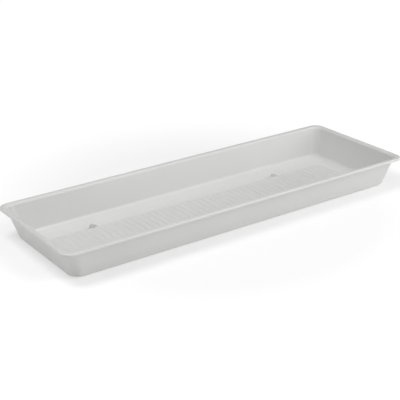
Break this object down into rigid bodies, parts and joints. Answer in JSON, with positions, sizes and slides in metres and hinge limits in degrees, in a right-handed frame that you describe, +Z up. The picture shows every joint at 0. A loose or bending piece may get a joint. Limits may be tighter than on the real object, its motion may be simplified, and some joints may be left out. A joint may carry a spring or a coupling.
{
  "type": "paint roller tray",
  "caption": "Long shallow plastic paint tray with a flanged rim and a smooth paint well, and a ribbed drop-in plate with two lift tabs on which a wide roller is rolled off.",
  "frame": {"origin": "centre of the tray's footprint, on the surface that it stands on", "axes": "+Z up, +X along the tray's length, +Y towards the smooth paint well"},
  "size_m": [0.6, 0.209, 0.047],
  "materials": {
    "tray_plastic": "pale grey-white moulded plastic, fine satin texture, a little glossier on the smooth floor",
    "plate_plastic": "the same pale grey-white plastic, slightly more matt, with rounded ribs"
  },
  "bodies": {
    "tray_body": {"tray": "tray_plastic"},
    "plate_body": {"roll_off_plate": "plate_plastic"}
  },
  "joints": [
    {"name": "plate_lift_out", "type": "slide", "parent": "tray_body", "child": "plate_body", "axis": [0, 0, 1], "range_m": [0, 0.06]}
  ]
}
